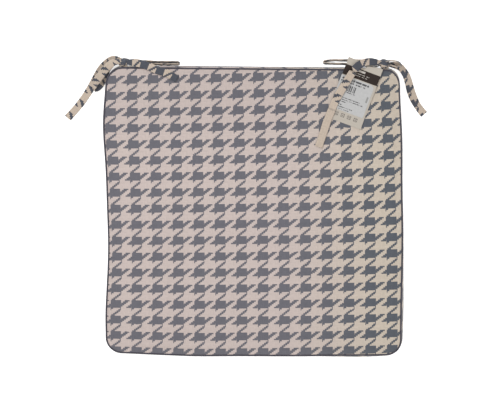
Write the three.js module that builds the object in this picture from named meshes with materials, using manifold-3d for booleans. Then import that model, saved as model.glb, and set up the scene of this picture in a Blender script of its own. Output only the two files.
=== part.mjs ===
// Tie-on seat pad: a boxed and piped cover over a foam slab, closed by a zip in the rear
// boxing, with a bow tied at each rear corner and a card hang tag on the right-hand bow.
// Millimetres, +Z up. The pad lies on z = 0 and its rear edge, where the ties are, faces +Y.
import * as THREE from 'three';
import { mergeVertices } from 'three/addons/utils/BufferGeometryUtils.js';
import Module from 'manifold-3d';

const wasm = await Module();
wasm.setup();

// ---- Driving dimensions ----
const padWidth = 400; // over the piping, along X
const padDepth = 390; // over the piping, along Y
const padHeight = 30; // over the top and bottom piping
const cornerRadius = 22; // of the piped outline
const crown = 1.2; // how far the stuffed top rises above the piping
const clearance = 0.3; // between touching pieces

const clothThickness = 1.0; // panels and boxing, with their seam allowance pressed flat
const pipingDiameter = 2.6; // over the cover
const pipingCloth = 0.4;
const seamSlit = 0.5; // between the two layers of the piping's flange
const flangeLength = 2; // beyond the piping's round part

const waddingThickness = 2.6;
const foamEdge = 4; // easing of the slab's edges

const zipLength = 300; // of the coupled chain
const zipOpening = 7.4; // between the folded edges that flank the chain
const zipLevel = 13; // height of the chain above the underside
const zipRecess = 4.5; // from the boxing's inner face to the middle of the tape
const zipMargin = 6; // of folded strip past each end of the chain
const tapeThickness = 0.7;
const tapeWidth = 8;
const coilWidth = 1.4;
const coilThickness = 1.6;
const sliderLength = 9;
const sliderWidth = 6.4;
const sliderPlate = 0.8;
const sliderWeb = 0.5;
const pinRadius = 0.6;
const eyeWall = 0.7;
const pullLength = 22;
const pullThickness = 1;
const stopLength = 2;

const tieWidth = 10.5;
const tieThickness = 1.4;
const gatherLength = 14; // over which a tie spreads from the knot to its full width
const gatheredShare = 0.55; // of the width left where a tie enters the knot
const tieStep = 6; // between sections along a tie

const tagWidth = 49;
const tagHeight = 86;
const cardThickness = 0.5;
const stickerWidth = 47;
const stickerHeight = 46;
const stickerThickness = 0.15;
const stickerTop = 25; // from the card's top edge
const stickerGap = 0.05;
const holeRadius = 2;
const holeFromTop = 5.5;
const tagTurn = -20; // degrees about the vertical
const tagPlace = { x: -54.5, y: 3 }; // the hole, from the pad's rear right corner
const fastenerDiameter = 0.7;

// ---- Sizes that follow ----
const halfWidth = padWidth / 2;
const halfDepth = padDepth / 2;
const pipingRadius = pipingDiameter / 2;
const topSeam = padHeight - pipingRadius;
const bottomSeam = pipingRadius;
const panelInset = pipingDiameter + clearance;
const boxingInset = pipingRadius - clothThickness;
const boxingTop = padHeight - pipingDiameter - clearance;
const boxingBottom = pipingDiameter + clearance;
const topOfPad = padHeight + crown;
const plateStart = coilThickness / 2 + clearance; // of the slider's plates, from mid-tape
const plateEnd = plateStart + sliderPlate;
const foamInset = boxingInset + clothThickness + zipRecess + plateEnd + clearance;
const tieLevel = boxingTop - clearance - 1.2 * tieThickness;

const step = { corner: 5, side: 2 };
const stepsAround = 4 * (step.corner + step.side);

const finishes = {
  houndstooth: [0xa39a98, 0.9, 0],
  piping: [0x3f3c47, 0.85, 0],
  cottonCord: [0xe6e0d4, 0.95, 0],
  foam: [0xe9dfae, 0.95, 0],
  wadding: [0xf4f3ef, 1, 0],
  zipTape: [0x55535c, 0.9, 0],
  zipCoil: [0x44434b, 0.5, 0],
  metal: [0x8f8f92, 0.35, 1],
  card: [0xcfc6b5, 0.8, 0],
  sticker: [0xe4e4e6, 0.6, 0],
  nylon: [0xe8e8e4, 0.3, 0],
};

const group = new THREE.Group();

function add(name, geometry, finish, parent = group) {
  const [color, roughness, metalness] = finishes[finish];
  const material = new THREE.MeshStandardMaterial({ color, roughness, metalness });
  const mesh = new THREE.Mesh(geometry, material);
  mesh.name = name;
  parent.add(mesh);
  return mesh;
}

// ---- Joining and cutting ----
function solidOf(geometry) {
  const bare = geometry.clone();
  bare.deleteAttribute('normal');
  bare.deleteAttribute('uv');
  const merged = mergeVertices(bare, 1e-4);
  const vertProperties = new Float32Array(merged.attributes.position.array);
  const triVerts = new Uint32Array(merged.index.array);
  return new wasm.Manifold(new wasm.Mesh({ numProp: 3, vertProperties, triVerts }));
}

function geometryOf(solid) {
  const mesh = solid.getMesh();
  const geometry = new THREE.BufferGeometry();
  geometry.setAttribute('position', new THREE.BufferAttribute(mesh.vertProperties, 3));
  geometry.setIndex(new THREE.BufferAttribute(mesh.triVerts, 1));
  return geometry;
}

function cut(geometry, ...tools) {
  const solid = tools.reduce((rest, tool) => rest.subtract(solidOf(tool)), solidOf(geometry));
  return geometryOf(solid);
}

function join(first, ...others) {
  return geometryOf(others.reduce((all, other) => all.add(solidOf(other)), solidOf(first)));
}

function block(from, to) {
  const size = to.map((value, axis) => value - from[axis]);
  const middle = to.map((value, axis) => (value + from[axis]) / 2);
  return new THREE.BoxGeometry(...size).translate(...middle);
}

// ---- The pad's plan: a rounded rectangle, drawn at any inset ----
// Near the edge the plan is a true offset. Past the shoulder it shrinks to the centre.
const shoulder = cornerRadius - 4;

function planPoint(index, inset) {
  const offset = Math.min(inset, shoulder);
  const radius = cornerRadius - offset;
  const shrink = (halfWidth - Math.max(inset, shoulder)) / (halfWidth - shoulder);
  const perCorner = step.corner + step.side;
  const corner = Math.floor(index / perCorner);
  const along = index % perCorner;
  const arc = (number, share) => {
    const angle = ((number + share) * Math.PI) / 2;
    const signX = number % 4 === 0 || number % 4 === 3 ? 1 : -1;
    const signY = number % 4 < 2 ? 1 : -1;
    return new THREE.Vector2(
      signX * (halfWidth - cornerRadius) + radius * Math.cos(angle),
      signY * (halfDepth - cornerRadius) + radius * Math.sin(angle),
    );
  };
  const onArc = Math.min(along / step.corner, 1);
  const point = arc(corner, onArc);
  const onSide = Math.max(along - step.corner, 0) / step.side;
  return point.lerp(arc(corner + 1, 0), onSide).multiplyScalar(shrink);
}

// A solid whose section [inset, height] goes once round the plan, like a lathe turning
// squared up. The section runs anticlockwise seen with the pad's outside on the right.
function roundThePad(section) {
  const points = section.map(([inset, height]) => new THREE.Vector2(inset, height));
  const lathe = new THREE.LatheGeometry(points, stepsAround);
  for (let turn = 0; turn <= stepsAround; turn += 1) {
    section.forEach(([inset, height], number) => {
      const point = planPoint(turn % stepsAround, inset);
      const vertex = turn * section.length + number;
      lathe.attributes.position.setXYZ(vertex, point.x, point.y, height);
    });
  }
  return lathe;
}

const closed = (section) => [...section, section[0]];

// ---- Cover panels, foam and wadding ----
// The top panel leaves its seam at the piping and swells to the crown within 45 mm.
const topSurface = [
  [panelInset, topSeam + clothThickness / 2],
  [panelInset + 4, padHeight - 0.2],
  [panelInset + 10, padHeight + 0.45 * crown],
  [panelInset + 21, padHeight + 0.8 * crown],
  [panelInset + 41, padHeight + 0.95 * crown],
  [halfWidth, topOfPad],
];
const lowered = (surface, drop) => surface.map(([inset, height]) => [inset, height - drop]);

add('top_panel', roundThePad([
  ...lowered(topSurface, clothThickness).reverse(),
  ...topSurface,
]), 'houndstooth');

// The underside lies flat on the chair inside the seam.
const undersideInset = panelInset + 8;
const bottomSurface = [
  [halfWidth, 0],
  [undersideInset, 0],
  [panelInset + 3, 0.4],
  [panelInset, bottomSeam - clothThickness / 2],
];
add('bottom_panel', roundThePad([
  ...bottomSurface,
  ...lowered(bottomSurface, -clothThickness).reverse(),
]), 'houndstooth');

const foamBottom = clothThickness + waddingThickness + 2 * clearance;
const foamTop = padHeight - clothThickness - waddingThickness - 2 * clearance;
add('foam_core', roundThePad([
  [halfWidth, foamBottom],
  [foamInset + foamEdge, foamBottom],
  [foamInset, foamBottom + foamEdge],
  [foamInset, foamTop - foamEdge],
  [foamInset + foamEdge, foamTop],
  [halfWidth, foamTop],
]), 'foam');

const waddingSurface = lowered(topSurface.slice(2), clothThickness + clearance);
add('top_wadding', roundThePad([
  [halfWidth, foamTop + clearance],
  [waddingSurface[0][0], foamTop + clearance],
  ...waddingSurface,
]), 'wadding');
add('bottom_wadding', roundThePad([
  [halfWidth, clothThickness + clearance],
  [undersideInset + 1, clothThickness + clearance],
  [undersideInset + 1, foamBottom - clearance],
  [halfWidth, foamBottom - clearance],
]), 'wadding');

// ---- Piping: a cotton cord in a folded strip, its flange running into the seam ----
function arcPoints(centre, radius, from, to, count) {
  return Array.from({ length: count + 1 }, (_, number) => {
    const angle = from + ((to - from) * number) / count;
    return [centre[0] - radius * Math.cos(angle), centre[1] + radius * Math.sin(angle)];
  });
}

function pipingCover(level, slitAngle) {
  const centre = [pipingRadius, level];
  const inner = pipingRadius - pipingCloth;
  const halfSlit = seamSlit / 2;
  const outerOffset = halfSlit + pipingCloth;
  const reach = pipingRadius + flangeLength;
  const outerGap = Math.asin(outerOffset / pipingRadius);
  const innerGap = Math.asin(halfSlit / inner);
  const flangeEnd = (offset) => [
    centre[0] - reach * Math.cos(slitAngle) + offset * Math.sin(slitAngle),
    centre[1] + reach * Math.sin(slitAngle) + offset * Math.cos(slitAngle),
  ];
  const round = 2 * Math.PI;
  return roundThePad(closed([
    ...arcPoints(centre, pipingRadius, slitAngle + outerGap, slitAngle + round - outerGap, 10),
    flangeEnd(-outerOffset),
    flangeEnd(-halfSlit),
    ...arcPoints(centre, inner, slitAngle + round - innerGap, slitAngle + innerGap, 8),
    flangeEnd(halfSlit),
    flangeEnd(outerOffset),
  ]));
}

function pipingCord(level) {
  const radius = pipingRadius - pipingCloth - clearance;
  return roundThePad(closed(arcPoints([pipingRadius, level], radius, 0, 2 * Math.PI, 8).slice(0, 8)));
}

const inwardsAndDown = 1.25 * Math.PI;
const inwardsAndUp = 0.75 * Math.PI;
add('top_piping_cover', pipingCover(topSeam, inwardsAndDown), 'piping');
add('top_piping_cord', pipingCord(topSeam), 'cottonCord');
add('bottom_piping_cover', pipingCover(bottomSeam, inwardsAndUp), 'piping');
add('bottom_piping_cord', pipingCord(bottomSeam), 'cottonCord');

// ---- Boxing, with the zip panel at the rear ----
const boxingOuter = halfDepth - boxingInset;
const boxingInner = boxingOuter - clothThickness;
const zipPanelHalf = zipLength / 2 + zipMargin;

const boxingBand = roundThePad(closed([
  [boxingInset, boxingBottom],
  [boxingInset, boxingTop],
  [boxingInset + clothThickness, boxingTop],
  [boxingInset + clothThickness, boxingBottom],
]));
const zipWindow = block([-zipPanelHalf, boxingInner - 1, 0], [zipPanelHalf, halfDepth, padHeight]);

// Where the two ties of a corner enter the seam, the boxing opens round them.
const rootHeight = 2.4 * tieThickness;
const knots = {
  left: { centre: [-halfWidth + 23, halfDepth + 6, tieLevel], radii: [8, 5.4, 6.8] },
  right: { centre: [halfWidth - 28, halfDepth + 7, tieLevel], radii: [9, 6.2, 7] },
};
function rootBlock(knot, grow) {
  const [x, y] = knot.centre;
  const half = tieWidth / 2 + grow;
  const low = tieLevel - rootHeight / 2 - grow;
  const high = tieLevel + rootHeight / 2 + (grow && pipingRadius);
  return block([x - half, boxingInner + clearance - 4 * grow, low], [x + half, y, high]);
}
const notches = Object.values(knots).map((knot) => rootBlock(knot, clearance));
add('boxing_front_and_sides', cut(boxingBand, zipWindow, ...notches), 'houndstooth');

// Each rear strip turns in at the opening, back to the zip tape that is sewn to it.
const tapeMiddle = boxingInner - zipRecess;
const tapeFace = tapeMiddle + tapeThickness / 2;

function zipStrip(side) {
  const fold = zipLevel + (side * zipOpening) / 2;
  const edge = side > 0 ? boxingTop : boxingBottom;
  const inside = fold + side * clothThickness;
  const section = new THREE.Shape();
  section.moveTo(boxingOuter, fold);
  section.lineTo(boxingOuter, edge);
  section.lineTo(boxingInner, edge);
  section.lineTo(boxingInner, inside);
  section.lineTo(tapeFace + clearance, inside);
  section.lineTo(tapeFace + clearance, fold);
  return alongX(section, 2 * (zipPanelHalf - clearance));
}

// Extrudes a section drawn as (y, z) along X, centred on the pad's middle.
function alongX(section, length) {
  const geometry = new THREE.ExtrudeGeometry(section, { depth: length, bevelEnabled: false });
  const turn = new THREE.Matrix4().makeBasis(
    new THREE.Vector3(0, 1, 0),
    new THREE.Vector3(0, 0, 1),
    new THREE.Vector3(1, 0, 0),
  );
  return geometry.applyMatrix4(turn).translate(-length / 2, 0, 0);
}

add('boxing_rear_upper', zipStrip(1), 'houndstooth');
add('boxing_rear_lower', zipStrip(-1), 'houndstooth');

// ---- Zip ----
const coilStart = sliderWeb / 2 + clearance;
const coilEnd = coilStart + coilWidth;
const tapeHalf = zipPanelHalf - 1;

function zipBar(side, from, to, halfLength, halfThickness) {
  const near = zipLevel + side * from;
  const far = zipLevel + side * to;
  return block(
    [-halfLength, tapeMiddle - halfThickness, Math.min(near, far)],
    [halfLength, tapeMiddle + halfThickness, Math.max(near, far)],
  );
}
for (const [place, side] of [['upper', 1], ['lower', -1]]) {
  const tapeStart = coilEnd + clearance;
  const tape = zipBar(side, tapeStart, tapeStart + tapeWidth, tapeHalf, tapeThickness / 2);
  const coil = zipBar(side, coilStart, coilEnd, zipLength / 2, coilThickness / 2);
  add(`zip_tape_${place}`, tape, 'zipTape');
  add(`zip_coil_${place}`, coil, 'zipCoil');
}
const stopStart = zipLength / 2 + clearance;
for (const [end, side] of [['closed', 1], ['open', -1]]) {
  const x = [side * stopStart, side * (stopStart + stopLength)].sort((a, b) => a - b);
  const halfStop = coilThickness / 2;
  const stop = block(
    [x[0], tapeMiddle - halfStop, zipLevel - coilEnd],
    [x[1], tapeMiddle + halfStop, zipLevel + coilEnd],
  );
  add(`zip_stop_${end}_end`, stop, 'metal');
}

// The slider rides at the chain's closed end: two plates joined by a web between the
// coils, and two ears that carry the pull's pin.
const sliderPlace = zipLength / 2 - sliderLength / 2 - 2 * clearance;
const eyeRadius = pinRadius + clearance + eyeWall;
const pinPlace = plateEnd + clearance + eyeRadius;
const eyeHalf = 1.9;
const earEnd = sliderWidth / 2;
const slider = new THREE.Group();
slider.position.set(sliderPlace, tapeMiddle, zipLevel);
group.add(slider);

function pinCylinder(radius, halfHeight) {
  const cylinder = new THREE.CylinderGeometry(radius, radius, 2 * halfHeight, 12);
  return cylinder.rotateX(Math.PI / 2).translate(0, pinPlace, 0);
}
const halfSlider = sliderLength / 2;
const ear = (side) => block(
  [-pinRadius - 0.7, plateEnd - 0.1, side > 0 ? eyeHalf + clearance : -earEnd],
  [pinRadius + 0.7, pinPlace + pinRadius + 0.4, side > 0 ? earEnd : -eyeHalf - clearance],
);
add('zip_slider', join(
  block([-halfSlider, plateStart, -sliderWidth / 2], [halfSlider, plateEnd, sliderWidth / 2]),
  block([-halfSlider, -plateEnd, -sliderWidth / 2], [halfSlider, -plateStart, sliderWidth / 2]),
  block([-halfSlider + 1, -plateEnd, -sliderWeb / 2], [halfSlider - 1, plateEnd, sliderWeb / 2]),
  ear(1),
  ear(-1),
  pinCylinder(pinRadius, earEnd - 0.2),
), 'metal', slider);

const pullBlank = join(
  pinCylinder(eyeRadius, eyeHalf),
  block([-pullLength, pinPlace - pullThickness / 2, -eyeHalf], [0, pinPlace + pullThickness / 2, eyeHalf]),
);
add('zip_pull', cut(pullBlank, pinCylinder(pinRadius + clearance, eyeHalf + 1)), 'metal', slider);

// ---- Ties: flat straps of folded cloth, tied in a bow at each rear corner ----
// A point of a route is measured from the corner at the rear edge, on the underside.
// The directions across the strap are spread evenly along it.
const flatAlong = [[0.69, -0.72, 0]];
const onEdge = [[0, 0, 1]];
const ties = {
  left: {
    loop_outer: {
      route: [
        [19, 7, 28], [10, 6.5, 28], [1.5, -0.5, 25], [-7, -10.5, 20], [-14, -19.5, 14.5], [-18.5, -26, 9.8],
        [-19.3, -29.8, 7.2], [-16, -31, 5.4], [-10, -26, 6.4], [-5, -16, 10], [-1, -5, 15],
        [6, 3.5, 19.5], [17, 6.5, 22.5],
      ],
      across: [[0.25, -0.95, 0.1], ...flatAlong, ...flatAlong, ...flatAlong, [0.62, -0.75, -0.2], [0.25, -0.9, 0.3]],
      ends: 2,
    },
    loop_rear: {
      route: [
        [27, 8, 23.5], [38, 7.4, 23.5], [58, 6.9, 23.5], [80, 6.6, 23.5], [92, 6.6, 23.5],
        [97.4, 6, 23.5], [98, 5, 23.5], [96.5, 4, 23.5], [89, 3.6, 23.5], [70, 3.6, 23.5],
        [48, 3.6, 23.5], [36, 4, 23.5], [27, 5, 23.5],
      ],
      across: [[0, 0.3, 0.95]],
      ends: 2,
    },
    tail_outer: {
      route: [
        [20, 8, 21], [11, 9.5, 16], [1, 5, 10], [-9, -6, 4.6], [-16.5, -19, 1.9], [-22, -29.5, 1.2],
        [-29, -41, 1.2], [-39, -55, 1.2], [-54, -72, 1.2],
      ],
      across: [[0.3, -0.95, 0], [0.75, -0.66, 0], [0.84, -0.54, 0], [0.78, -0.62, 0]],
      ends: 1,
    },
    tail_top: {
      route: [
        [25, 6, 28], [34, 6.3, 31], [45, 5, 32.2], [57, 1.2, 33], [68, -3.5, 33], [81, -7.5, 32.7],
        [94.5, -15.5, 32.3],
      ],
      across: [[0, 1, 0.2], [0.15, 1, 0], [0.5, 0.87, 0], [0.5, 0.87, 0]],
      ends: 1,
    },
  },
  right: {
    loop_rear: {
      route: [
        [-32, 9.5, 23.5], [-45, 10.6, 23.5], [-65, 11, 23.5], [-88, 11, 23.5], [-104, 10.4, 23.5],
        [-110, 8.8, 23.5], [-109.2, 7.2, 23.5], [-102, 6.6, 23.5], [-80, 6.2, 23.5], [-56, 5.6, 23.5],
        [-42, 5.6, 23.5], [-32, 6, 23.5],
      ],
      across: [[0, 0.3, 0.95]],
      ends: 2,
    },
    loop_side: {
      route: [
        [-28, 10, 27], [-20, 11.5, 28.5], [-12, 11, 28], [-6.5, 8, 27], [-5.6, 4.6, 26.2],
        [-10, 3.6, 25.8], [-17, 4.4, 25.6], [-26, 6, 25],
      ],
      across: onEdge,
      ends: 2,
    },
    tail_tag: {
      route: [
        [-33, 8.5, 28.5], [-42, 10, 32.5], [-53, 9.8, 35.5], [-61.5, 6, 37.4], [-68, -0.5, 38.2],
        [-73, -8, 37.6], [-79, -18, 35.6], [-86, -29.5, 34], [-92.5, -42, 33.3], [-98, -55.5, 33.3],
        [-104, -71, 33.2], [-109, -87, 32.6], [-114.8, -105, 32.3],
      ],
      across: [
        [0, 1, 0.1], [0.1, 1, 0], [0.8, -0.6, 0.0], [0.9, -0.42, 0], [0.93, -0.36, 0], [0.95, -0.32, 0],
      ],
      ends: 1,
    },
    tail_side: {
      route: [
        [-23.5, 5.8, 20.3], [-14, 4.8, 18.6], [-6.5, 2, 18.4], [0, -6, 17.4], [4.5, -17, 14.5],
        [8, -30, 9.5], [13, -43, 4.8], [19.5, -54, 2.2], [26.5, -62.5, 1.2],
      ],
      across: [[0.2, 0.9, 0.2], [0.6, 0.5, -0.6], [0.9, 0.36, -0.2], [0.92, 0.38, 0], [0.8, 0.6, 0]],
      ends: 1,
    },
  },
};

function strap({ route, across, ends }, corner) {
  const points = route.map(([x, y, z]) => new THREE.Vector3(corner.x + x, corner.y + y, z));
  const curve = new THREE.CatmullRomCurve3(points, false, 'centripetal');
  const length = curve.getLength();
  const directions = across.map((vector) => new THREE.Vector3(...vector));
  const directionAt = (share) => {
    const place = share * (directions.length - 1);
    const before = Math.min(Math.floor(place), Math.max(directions.length - 2, 0));
    const after = Math.min(before + 1, directions.length - 1);
    return directions[before].clone().lerp(directions[after], place - before);
  };
  const spreadAt = (share) => {
    const fromKnot = ends === 2 ? Math.min(share, 1 - share) : share;
    return gatheredShare + (1 - gatheredShare) * Math.min((fromKnot * length) / gatherLength, 1);
  };
  const blank = new THREE.BoxGeometry(1, tieWidth, tieThickness, Math.ceil(length / tieStep), 1, 1);
  const place = blank.attributes.position;
  for (let number = 0; number < place.count; number += 1) {
    const share = Math.min(Math.max(place.getX(number) + 0.5, 0), 1);
    const tangent = curve.getTangentAt(share);
    const normal = tangent.clone().cross(directionAt(share)).normalize();
    const side = normal.clone().cross(tangent);
    const point = curve.getPointAt(share)
      .addScaledVector(side, place.getY(number) * spreadAt(share))
      .addScaledVector(normal, place.getZ(number));
    place.setXYZ(number, point.x, point.y, point.z);
  }
  return blank;
}

function knotBall({ centre, radii }, grow) {
  return new THREE.SphereGeometry(1, 14, 9)
    .scale(radii[0] + grow, radii[1] + grow, radii[2] + grow)
    .translate(...centre);
}

for (const [side, pieces] of Object.entries(ties)) {
  const knot = knots[side];
  const corner = { x: side === 'left' ? -halfWidth : halfWidth, y: halfDepth };
  add(`${side}_tie_knot`, knotBall(knot, 0), 'houndstooth');
  add(`${side}_tie_root`, cut(rootBlock(knot, 0), knotBall(knot, clearance)), 'houndstooth');
  for (const [name, piece] of Object.entries(pieces)) {
    const trimmed = cut(strap(piece, corner), knotBall(knot, clearance));
    add(`${side}_tie_${name}`, trimmed, 'houndstooth');
  }
}

// ---- Hang tag: a punched card with a sticker, swivelling on a nylon loop ----
const tag = new THREE.Group();
tag.position.set(halfWidth + tagPlace.x, halfDepth + tagPlace.y, topOfPad + clearance);
tag.rotation.z = THREE.MathUtils.degToRad(tagTurn);
group.add(tag);

function plate(left, bottom, width, height, thickness, lift, hole) {
  const shape = new THREE.Shape();
  shape.moveTo(left, bottom);
  shape.lineTo(left + width, bottom);
  shape.lineTo(left + width, bottom + height);
  shape.lineTo(left, bottom + height);
  if (hole) shape.holes.push(new THREE.Path().absarc(0, 0, hole, 0, 2 * Math.PI, true));
  const options = { depth: thickness, bevelEnabled: false, curveSegments: 8 };
  return new THREE.ExtrudeGeometry(shape, options).translate(0, 0, lift);
}
const cardBottom = holeFromTop - tagHeight;
const stickerBottom = holeFromTop - stickerTop - stickerHeight;
const stickerLeft = -tagWidth / 2 - 0.6;
add('hang_tag_card', plate(
  -tagWidth / 2, cardBottom, tagWidth, tagHeight, cardThickness, 0, holeRadius,
), 'card', tag);
add('hang_tag_sticker', plate(
  stickerLeft, stickerBottom, stickerWidth, stickerHeight, stickerThickness, cardThickness + stickerGap,
), 'sticker', tag);

// The loop leaves the knot, passes up through the hole and returns over the top edge.
const below = topOfPad - 0.35;
const above = topOfPad + 1.9;
const holePlace = [halfWidth + tagPlace.x, halfDepth + tagPlace.y];
const [knotX, knotY] = knots.right.centre;
const loopPoints = [
  [knotX, knotY, tieLevel + 2],
  [knotX - 9, knotY - 3, below - 1.2],
  [holePlace[0] + 4, holePlace[1] + 1.4, below],
  [holePlace[0] + 0.6, holePlace[1] + 0.3, below + 0.35],
  [...holePlace, topOfPad + clearance + cardThickness / 2],
  [holePlace[0] + 0.6, holePlace[1] + 0.3, above - 0.4],
  [holePlace[0] + 4, holePlace[1] + 1.4, above],
  [knotX - 10, knotY - 3.6, above - 0.8],
  [knotX - 4, knotY - 1, tieLevel + 5],
];
const loopCurve = new THREE.CatmullRomCurve3(
  loopPoints.map((point) => new THREE.Vector3(...point)), false, 'centripetal',
);
const loopSection = new THREE.Shape().absarc(0, 0, fastenerDiameter / 2, 0, 2 * Math.PI);
const fastener = new THREE.ExtrudeGeometry(loopSection, {
  steps: 30, extrudePath: loopCurve, curveSegments: 4, bevelEnabled: false,
});
add('tag_fastener', cut(fastener, knotBall(knots.right, clearance)), 'nylon');

export default group;
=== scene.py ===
# %% [markdown]
# # A tie-on seat pad
# This lesson dresses the plain solids of a seat pad: a boxed cover of houndstooth cloth,
# piped top and bottom, stuffed with foam, closed by a zip at the rear and tied in a bow at
# each rear corner, with a card hang tag on the right-hand bow. They stay where they are,
# and every piece made here is placed from their boxes, in metres, with +Z up and the ties
# towards +Y.

# %% Load the frame
import math

import bpy
import numpy as np
from mathutils import Matrix, Vector, noise


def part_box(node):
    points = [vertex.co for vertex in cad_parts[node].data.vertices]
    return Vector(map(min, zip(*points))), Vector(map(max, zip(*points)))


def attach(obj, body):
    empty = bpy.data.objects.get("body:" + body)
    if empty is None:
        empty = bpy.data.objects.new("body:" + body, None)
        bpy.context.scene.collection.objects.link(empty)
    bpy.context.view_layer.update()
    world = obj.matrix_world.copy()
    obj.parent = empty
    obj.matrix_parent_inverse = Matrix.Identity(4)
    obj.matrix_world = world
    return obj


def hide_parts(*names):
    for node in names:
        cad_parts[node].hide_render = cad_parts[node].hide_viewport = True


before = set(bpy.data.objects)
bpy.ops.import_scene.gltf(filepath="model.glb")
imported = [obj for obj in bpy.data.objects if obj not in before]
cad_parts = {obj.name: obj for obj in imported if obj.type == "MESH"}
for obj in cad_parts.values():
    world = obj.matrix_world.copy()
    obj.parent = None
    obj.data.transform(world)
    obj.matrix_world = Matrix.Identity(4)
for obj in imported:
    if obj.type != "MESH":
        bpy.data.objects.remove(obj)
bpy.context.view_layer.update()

MM = 0.001

# %% Sizes that the pieces share
HALF_WIDTH = round(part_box("top_piping_cover")[1].x / MM) * MM
HALF_DEPTH = round(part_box("top_piping_cover")[1].y / MM) * MM
HEIGHT = round(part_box("top_piping_cover")[1].z / MM) * MM
CORNER_RADIUS = 22 * MM
PIPING_RADIUS = 1.2 * MM
SEAM_INSET = HALF_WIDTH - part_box("top_panel")[1].x
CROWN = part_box("top_panel")[1].z
SEAM_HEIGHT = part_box("top_panel")[0].z
print("half width", HALF_WIDTH, "half depth", HALF_DEPTH, "height", HEIGHT, "crown", round(CROWN, 4),
      "seam inset", round(SEAM_INSET, 4), "seam height", round(SEAM_HEIGHT, 4))

# %% [markdown]
# ## Camera
# The pad lies flat and is looked at almost straight down. A very long lens from far away
# keeps its sides parallel, as a copy stand does. The camera leans a little towards the rear
# and the right, so slivers of the rear and right boxing show.

# %% Camera
FRAME_WIDTH = 495 / 744
LENS = 300
SENSOR = 36
LOOK_AT = Vector((-9.7 * MM, 5.8 * MM, HEIGHT))
LEAN = Vector((math.tan(math.radians(1.5)), math.tan(math.radians(6.4)), 1)).normalized()
ROLL = math.radians(0.4)


def add_camera():
    data = bpy.data.cameras.new("copy_stand_camera")
    data.lens = LENS
    data.sensor_width = SENSOR
    camera = bpy.data.objects.new("copy_stand_camera", data)
    bpy.context.collection.objects.link(camera)
    across = Vector((-math.sin(ROLL), math.cos(ROLL), 0)).cross(LEAN).normalized()
    turn = Matrix((across, LEAN.cross(across), LEAN)).transposed()
    distance = FRAME_WIDTH * LENS / SENSOR
    camera.matrix_world = Matrix.Translation(LOOK_AT + LEAN * distance) @ turn.to_4x4()
    data.clip_end = 3 * distance
    bpy.context.scene.camera = camera
    return distance


print("camera distance", round(add_camera(), 2), "m")

# %% [markdown]
# ## Shader maths
# A material here is a recipe whose maths is written as Python. `Wire` wraps a socket and
# overloads the operators, so `1 - mask` adds a Math node. Colours are blended by Mix nodes,
# because a Math node would turn a colour grey.

# %% A socket that can be used in sums
class Wire:
    def __init__(self, recipe, socket):
        self.recipe = recipe
        self.socket = socket

    def maths(self, operation, *others):
        values = dict(enumerate((self, *others)))
        return self.recipe.add("ShaderNodeMath", {"operation": operation}, values)

    def __add__(self, other): return self.maths("ADD", other)
    def __radd__(self, other): return self.maths("ADD", other)
    def __sub__(self, other): return self.maths("SUBTRACT", other)
    def __mul__(self, other): return self.maths("MULTIPLY", other)
    def __rmul__(self, other): return self.maths("MULTIPLY", other)
    def __mod__(self, other): return self.maths("FLOORED_MODULO", other)
    def __lt__(self, other): return self.maths("LESS_THAN", other)
    def __gt__(self, other): return self.maths("GREATER_THAN", other)
    def __abs__(self): return self.maths("ABSOLUTE")

    def __rsub__(self, other):
        return self.recipe.add("ShaderNodeMath", {"operation": "SUBTRACT"}, {0: other, 1: self})

    def floor(self): return self.maths("FLOOR")
    def sine(self): return self.maths("SINE")
    def largest(self, other): return self.maths("MAXIMUM", other)

    def between(self, low, high):
        return (self > low) * (self < high)

    def ramp(self, low, high):
        """0 below low, 1 above high, smooth in between."""
        settings = {"interpolation_type": "SMOOTHSTEP"}
        inputs = {"Value": self, "From Min": low, "From Max": high}
        return self.recipe.add("ShaderNodeMapRange", settings, inputs)


# %% A material recipe
class Recipe:
    """A material with one Principled shader, and the nodes that feed it."""

    def __init__(self, name, roughness=0.8, **constants):
        self.material = bpy.data.materials.new(name)
        self.material.use_nodes = True
        self.tree = self.material.node_tree
        self.shader = self.tree.nodes["Principled BSDF"]
        self.shader.inputs["Roughness"].default_value = roughness
        for socket, value in constants.items():
            self.shader.inputs[socket.replace("_", " ")].default_value = value

    def add(self, kind, settings, inputs, output=0):
        node = self.tree.nodes.new(kind)
        for key, value in settings.items():
            setattr(node, key, value)
        for key, value in inputs.items():
            if isinstance(value, Wire):
                self.tree.links.new(value.socket, node.inputs[key])
            else:
                node.inputs[key].default_value = value
        return Wire(self, node.outputs[output])

    def feed(self, socket, wire):
        self.tree.links.new(wire.socket, self.shader.inputs[socket])

    def split(self, vector):
        return [self.add("ShaderNodeSeparateXYZ", {}, {"Vector": vector}, axis) for axis in "XYZ"]

    def join(self, x, y, z=0.0):
        return self.add("ShaderNodeCombineXYZ", {}, {"X": x, "Y": y, "Z": z})

    def place(self):
        return self.add("ShaderNodeAttribute", {"attribute_name": "cloth_place"}, {}, "Vector")

    def position(self):
        return self.add("ShaderNodeTexCoord", {}, {}, "Object")

    def noise(self, vector, scale, detail=2.0):
        inputs = {"Vector": vector, "Scale": scale, "Detail": detail}
        return self.add("ShaderNodeTexNoise", {}, inputs)

    def speck(self, vector):
        return self.add("ShaderNodeTexWhiteNoise", {}, {"Vector": vector}, "Value")

    def blend(self, share, colour_a, colour_b, how="MIX"):
        settings = {"data_type": "RGBA", "blend_type": how}
        return self.add("ShaderNodeMix", settings, {0: share, 6: colour_a, 7: colour_b}, 2)

    def shaded(self, colour, shade):
        return self.blend(1.0, colour, self.join(shade, shade, shade), "MULTIPLY")

    def bump(self, height, distance, strength=1.0):
        inputs = {"Height": height, "Distance": distance, "Strength": strength}
        self.feed("Normal", self.add("ShaderNodeBump", {}, inputs))


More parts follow.
